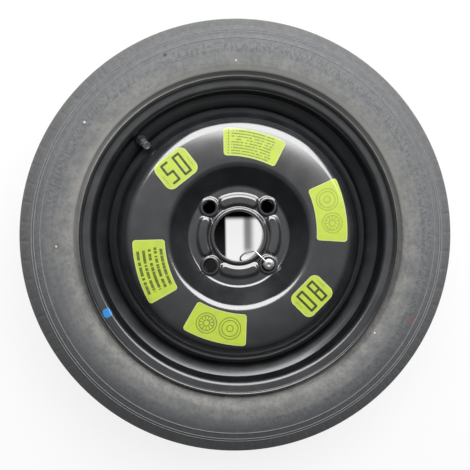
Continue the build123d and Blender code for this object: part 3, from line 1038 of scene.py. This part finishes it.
def line_print(rows, pitch, thickness, bullets, strength):
    """Print rows of broken bars, with a column of bullets at the left where they have one."""

    def mask(chart, x, y):
        """Give the ink of the rows at a place."""
        row = (y + pitch * rows / 2) / pitch
        within = row.node("ShaderNodeMath", {"operation": "FRACT"}, {0: row})
        number = row.node("ShaderNodeMath", {"operation": "FLOOR"}, {0: row})
        bars = fade(size_of(within - 0.5), thickness + 0.06, thickness)
        letters = x.node("ShaderNodeCombineXYZ", {}, {0: x * 0.9, 1: number * 7.3, 2: 0.0})
        broken = fade(cloudy(letters, 0.45, 2.0), 0.40, 0.46)
        lengths = x.node("ShaderNodeCombineXYZ", {}, {0: number * 3.7, 1: 4.0, 2: 0.0})
        longer = cloudy(lengths, 1.0, 0.0) * line_spread
        inside = fade(x, *line_left) * fade(x, line_right[0] + longer, line_right[1] + longer)
        printed_rows = fade(size_of(y), pitch * rows / 2 + 0.1, pitch * rows / 2)
        rows_of_bars = bars * broken * inside * printed_rows
        if bullets:
            dots = fade(size_of(x - bullet_place), 1.1, 0.8) * fade(size_of(within - 0.5), 0.3, 0.24)
            rows_of_bars = greatest(rows_of_bars, dots * printed_rows)
        return rows_of_bars * strength

    return mask


def ring_print(wheels, strength):
    """Print pairs of plain wheels: rings with a hub, and spokes on some."""

    def mask(chart, x, y):
        """Give the ink of the wheels at a place."""
        ink = x * 0.0
        for (middle_x, middle_y), radius, spoked in wheels:
            across = x - middle_x
            upwards = y - middle_y
            away = diagonal(across, upwards)
            for share in ring_shares:
                ink = greatest(ink, fade(size_of(away - radius * share), *ring_pen))
            if spoked:
                turned = x.node("ShaderNodeMath", {"operation": "ARCTAN2"}, {0: upwards, 1: across})
                wave = x.node("ShaderNodeMath", {"operation": "SINE"}, {0: turned * spoke_count})
                ends = between(away, radius * spoke_span[0], radius * spoke_span[1], radius * 0.04)
                ink = greatest(ink, fade(wave, 0.35, 0.75) * ends)
        return ink * strength

    return mask


wheel_pair = [((14.5, 0.5), 13.0, True), ((-16.5, -0.5), 14.0, False)]
number_stickers = [
    ("sticker_number_upper", 132.6, 119.6, -5.0, five),
    ("sticker_number_lower", 319.5, 120.6, -5.0, eight),
]
for name, angle, radius, skew, tens in number_stickers:
    film = vinyl(name + "_vinyl", number_size, number_print(tens))
    sticker(name, angle, radius, skew, number_size, None, film)
curved_stickers = [
    ("sticker_lines_top", 81.6, 118.8, 35.0, -5.0, line_print(9, 3.6, 0.20, True, 0.6)),
    ("sticker_lines_left", 199.4, 119.2, 41.0, -5.0, line_print(5, 7.4, 0.22, False, 0.85)),
    ("sticker_rings_right", 14.5, 120.8, 40.0, -5.0, ring_print(wheel_pair, 0.35)),
    ("sticker_rings_bottom", 254.7, 118.5, 41.0, -1.5, ring_print(wheel_pair, 0.6)),
]
for name, angle, radius, height, skew, printed in curved_stickers:
    size = (curved_width, height, curved_corner)
    sticker(name, angle, radius, skew, size, curved_bend, vinyl(name + "_vinyl", size, printed))

# Wire tie
# A bright steel wire is looped through the lower right bolt hole and the bore, and its ends are pressed
# into a round metal seal that lies in the seat of the hole.
tie_wire = 1.05
tie_facets = 12
tie_bright = (0.78, 0.78, 0.77, 1)
tie_tarnish = (0.46, 0.46, 0.45, 1)
seal_radius = 7.4
seal_half = 2.6
seal_facets = (40, 24)
seal_dent = 0.9
seal_dent_radius = 3.4
seal_tilt = radians(9)
seal_place = (38.4, -37.4, 8.8)
tie_path = [
    (37.2, -36.2, 10.2),
    (33.5, -32.6, 9.6),
    (28.0, -27.2, 8.8),
    (22.0, -21.3, 8.0),
    (20.2, -19.8, 7.4),
    (18.6, -20.2, 6.6),
    (15.0, -21.0, 5.4),
    (11.2, -21.8, 4.2),
    (7.8, -22.9, 3.0),
    (5.0, -24.6, 1.6),
    (2.9, -27.0, 0.0),
    (1.8, -29.6, -2.2),
    (2.2, -31.6, -5.0),
    (6.0, -34.0, -7.2),
    (14.0, -37.0, -8.0),
    (24.0, -39.4, -7.4),
    (32.0, -39.6, -5.4),
    (36.4, -38.8, -1.6),
    (38.0, -38.0, 3.0),
    (38.4, -37.6, 7.6),
]
tie = bmesh.new()
rings = []
for number, spot in enumerate(tie_path):
    before = Vector(tie_path[max(number - 1, 0)])
    after = Vector(tie_path[min(number + 1, len(tie_path) - 1)])
    faced = set_at(spot, after - before)
    ring = bmesh.ops.create_circle(tie, segments=tie_facets, radius=tie_wire, matrix=faced)["verts"]
    rings.append({edge for point in ring for edge in point.link_edges})
for first, second in zip(rings, rings[1:]):
    bmesh.ops.bridge_loops(tie, edges=[*first, *second])
ball = dict(u_segments=seal_facets[0], v_segments=seal_facets[1], radius=seal_radius)
seal = bmesh.ops.create_uvsphere(tie, **ball)["verts"]
for point in seal:
    point.co.z *= seal_half / seal_radius
    if point.co.z > 0:
        point.co.z -= seal_dent * smooth_step(1 - hypot(point.co.x, point.co.y) / seal_dent_radius)
bmesh.ops.rotate(tie, cent=(0, 0, 0), matrix=Matrix.Rotation(seal_tilt, 3, "X"), verts=seal)
bmesh.ops.translate(tie, vec=seal_place, verts=seal)
bmesh.ops.recalc_face_normals(tie, faces=tie.faces)
tie_metal = turned_metal("tie_metal", tie_bright, tie_tarnish, 0.3)
fitted(made_object(tie, "wire_tie"), tie_metal, "core_steel", "wheel")

# Floor, light and camera
# The wheel lies on a pale floor. Inside the rim the floor is painted dark as painted shade, with a pale patch
# of painted light below the bore that a painted shadow crosses. One large softbox leans over it from beyond
# its top edge, a pale studio surrounds it, and the camera looks almost straight down on the front of the
# wheel.
floor_size = 12.0
floor_colour = (0.86, 0.86, 0.86, 1)
floor_shade = (0.03, 0.03, 0.032, 1)
floor_gap = 0.0002
floor_lift = 0.85
floor_roughness = 0.9
inside_edge = (0.19, 0.22)
bore_light_left = (-0.013, -0.009)
bore_light_edge = (0.044, 0.040)
bore_light_top = (0.026, 0.018)
bore_shade = 0.75
bore_shade_left = (0.011, 0.019)
bore_shade_right = (0.033, 0.022)
bore_shade_foot = (-0.036, -0.018)
softbox_distance = 1.8
softbox_rise = radians(52)
softbox_turn = radians(11)
softbox_size = (2.1, 1.65)
softbox_power = 65.0
fill_level = 0.1
zenith_level = 0.5
horizon_level = 0.1
zenith_fade = (0.3, 0.98)
near_side_level = 0.45
near_side_fade = (-0.28, 0.06)
camera_place = Vector((-0.08134, 0.03143, 1.0))
camera_aim = Vector((-0.0048, 0.0014, 0.0))
camera_roll = radians(-0.76)
focal_pixels = 761.0
picture_pixels = 470.0
film_width = 36.0

floor = bmesh.new()
bmesh.ops.create_grid(floor, x_segments=2, y_segments=2, size=floor_size)
bmesh.ops.translate(floor, vec=(0, 0, cad_box[0].z - floor_gap), verts=floor.verts)
floor_mesh = bpy.data.meshes.new("floor")
floor.to_mesh(floor_mesh)
floor.free()
floor = bpy.data.objects.new("floor", floor_mesh)
bpy.context.scene.collection.objects.link(floor)
floor_paper = bpy.data.materials.new("floor_paper")
floor_paper.use_nodes = True
paper = floor_paper.node_tree
paper_shader = paper.nodes["Principled BSDF"]
paper_shader.inputs["Roughness"].default_value = floor_roughness
rays = paper.nodes.new("ShaderNodeLightPath")
seen = Term(paper, rays.outputs["Is Camera Ray"])
for ray in ("Is Glossy Ray", "Is Transmission Ray"):
    seen = greatest(seen, Term(paper, rays.outputs[ray]))
spot = Term(paper, paper.nodes.new("ShaderNodeTexCoord").outputs["Object"])
across, along, _ = axes(spot)
away = diagonal(across, along)
# Painted light and shade: a pale patch of painted light below the bore, a painted shadow across it, and
# painted shade on the rest of the floor inside the rim.
bore_light = fade(across, *bore_light_left) * fade(away, *bore_light_edge) * fade(along, *bore_light_top)
shaded = fade(across, *bore_shade_left) * fade(across, *bore_shade_right) * fade(along, *bore_shade_foot)
open_floor = greatest(fade(away, *inside_edge), bore_light * (1 - bore_shade * shaded))
feed(paper_shader, Base_Color=mixed(open_floor, floor_shade, floor_colour))
glow = seen.node("ShaderNodeEmission", {}, {"Color": (1, 1, 1, 1), "Strength": 1.0})
lifted = {0: seen * open_floor * floor_lift, 1: Term(paper, paper_shader.outputs[0]), 2: glow}
floor_look = seen.node("ShaderNodeMixShader", {}, lifted)
paper.links.new(floor_look.socket, paper.nodes["Material Output"].inputs["Surface"])
floor_mesh.materials.append(floor_paper)

lamp = bpy.data.lights.new("softbox", "AREA")
lamp.shape = "RECTANGLE"
lamp.size, lamp.size_y = softbox_size
lamp.energy = softbox_power
stand = bpy.data.objects.new("softbox", lamp)
level_reach = cos(softbox_rise)
towards = Vector((sin(softbox_turn) * level_reach, cos(softbox_turn) * level_reach, sin(softbox_rise)))
stand.location = towards * softbox_distance
stand.rotation_euler = towards.to_track_quat("Z", "Y").to_euler()
bpy.context.scene.collection.objects.link(stand)

studio = bpy.data.worlds.new("studio")
studio.use_nodes = True
bpy.context.scene.world = studio
sky = studio.node_tree
sky_rays = sky.nodes.new("ShaderNodeLightPath")
seen = Term(sky, sky_rays.outputs["Is Camera Ray"])
mirrored = Term(sky, sky_rays.outputs["Is Glossy Ray"])
direction = Term(sky, sky.nodes.new("ShaderNodeTexCoord").outputs["Generated"])
_, towards_top, upwards = axes(direction)
backdrop = horizon_level + (zenith_level - horizon_level) * fade(upwards, *zenith_fade)
backdrop = backdrop * (near_side_level + (1 - near_side_level) * fade(towards_top, *near_side_fade))
level = greatest(seen, mirrored * backdrop + (1 - greatest(seen, mirrored)) * fill_level)
sky.links.new(level.socket, sky.nodes["Background"].inputs["Strength"])
sky.nodes["Background"].inputs["Color"].default_value = (1, 1, 1, 1)

camera = bpy.data.cameras.new("camera")
camera.sensor_width = film_width
camera.lens = film_width * focal_pixels / picture_pixels
viewer = bpy.data.objects.new("camera", camera)
forward = (camera_aim - camera_place).normalized()
right = forward.cross(Vector((0, 1, 0))).normalized()
up = right.cross(forward)
rolled_right = right * cos(camera_roll) + up * sin(camera_roll)
rolled_up = up * cos(camera_roll) - right * sin(camera_roll)
turned_axes = Matrix((rolled_right, rolled_up, -forward)).transposed()
viewer.matrix_world = Matrix.Translation(camera_place) @ turned_axes.to_4x4()
bpy.context.scene.collection.objects.link(viewer)
bpy.context.scene.camera = viewer
bpy.context.scene.view_settings.view_transform = "Standard"
